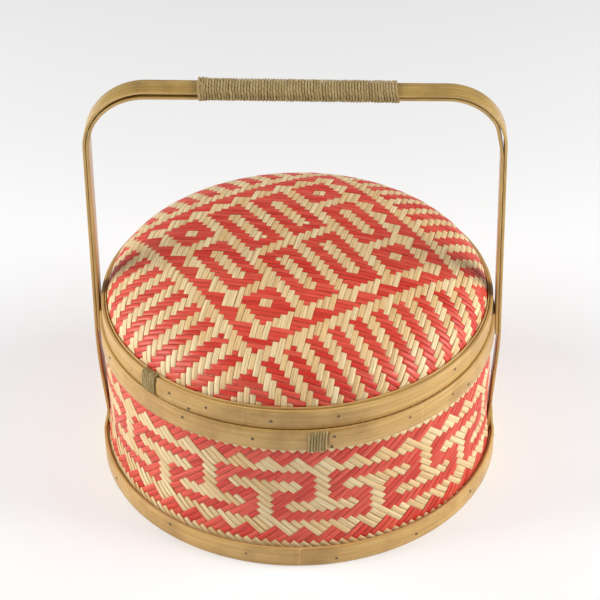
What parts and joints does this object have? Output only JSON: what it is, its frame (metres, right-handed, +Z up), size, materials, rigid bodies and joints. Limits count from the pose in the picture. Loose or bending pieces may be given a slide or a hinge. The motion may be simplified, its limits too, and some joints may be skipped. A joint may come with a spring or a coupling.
{
  "type": "bamboo food basket",
  "caption": "Round woven bamboo basket with a domed lift-off lid, bent bamboo hoops and a tall fixed handle with a cord-wound grip.",
  "frame": {"origin": "under the middle of the basket, on the surface that the base hoop stands on", "axes": "+Z up; X along the handle's bar; -Y towards the front, where the rim hoop is lashed"},
  "size_m": [0.2876, 0.2852, 0.2971],
  "materials": {
    "bin_wall": "twill of coral red and undyed bamboo splints",
    "bin_floor": "plain weave of undyed bamboo splints",
    "floor_slat_front": "smooth split bamboo with fine grain",
    "floor_slat_middle": "smooth split bamboo with fine grain",
    "floor_slat_rear": "smooth split bamboo with fine grain",
    "base_hoop": "smooth split bamboo with fine grain",
    "base_band_front": "smooth split bamboo with fine grain",
    "base_band_rear": "smooth split bamboo with fine grain",
    "base_inner_hoop": "smooth split bamboo with fine grain",
    "rim_hoop": "smooth split bamboo with fine grain",
    "rim_inner_hoop": "smooth split bamboo with fine grain",
    "lid_collar": "smooth split bamboo with fine grain",
    "rim_lashing": "twisted jute cord",
    "handle_outer_strip": "smooth split bamboo with fine grain",
    "handle_inner_strip": "smooth split bamboo with fine grain",
    "grip_wrap": "twisted jute cord",
    "lid_dome": "twill of coral red and undyed bamboo splints",
    "lid_hoop": "smooth split bamboo with fine grain",
    "lid_edge_band": "smooth split bamboo with fine grain",
    "lid_inner_hoop": "smooth split bamboo with fine grain",
    "lid_lashing": "twisted jute cord"
  },
  "bodies": {
    "basket": {"bin_wall": "bin_wall", "bin_floor": "bin_floor", "floor_slat_front": "floor_slat_front", "floor_slat_middle": "floor_slat_middle", "floor_slat_rear": "floor_slat_rear", "base_hoop": "base_hoop", "base_band_front": "base_band_front", "base_band_rear": "base_band_rear", "base_inner_hoop": "base_inner_hoop", "rim_hoop": "rim_hoop", "rim_inner_hoop": "rim_inner_hoop", "lid_collar": "lid_collar", "rim_lashing": "rim_lashing", "handle_outer_strip": "handle_outer_strip", "handle_inner_strip": "handle_inner_strip", "grip_wrap": "grip_wrap"},
    "lid": {"lid_dome": "lid_dome", "lid_hoop": "lid_hoop", "lid_edge_band": "lid_edge_band", "lid_inner_hoop": "lid_inner_hoop", "lid_lashing": "lid_lashing"}
  },
  "joints": [
    {"name": "lid_lift", "type": "slide", "parent": "basket", "child": "lid", "axis": [0, 0, 1], "range_m": [0, 0.117]}
  ]
}
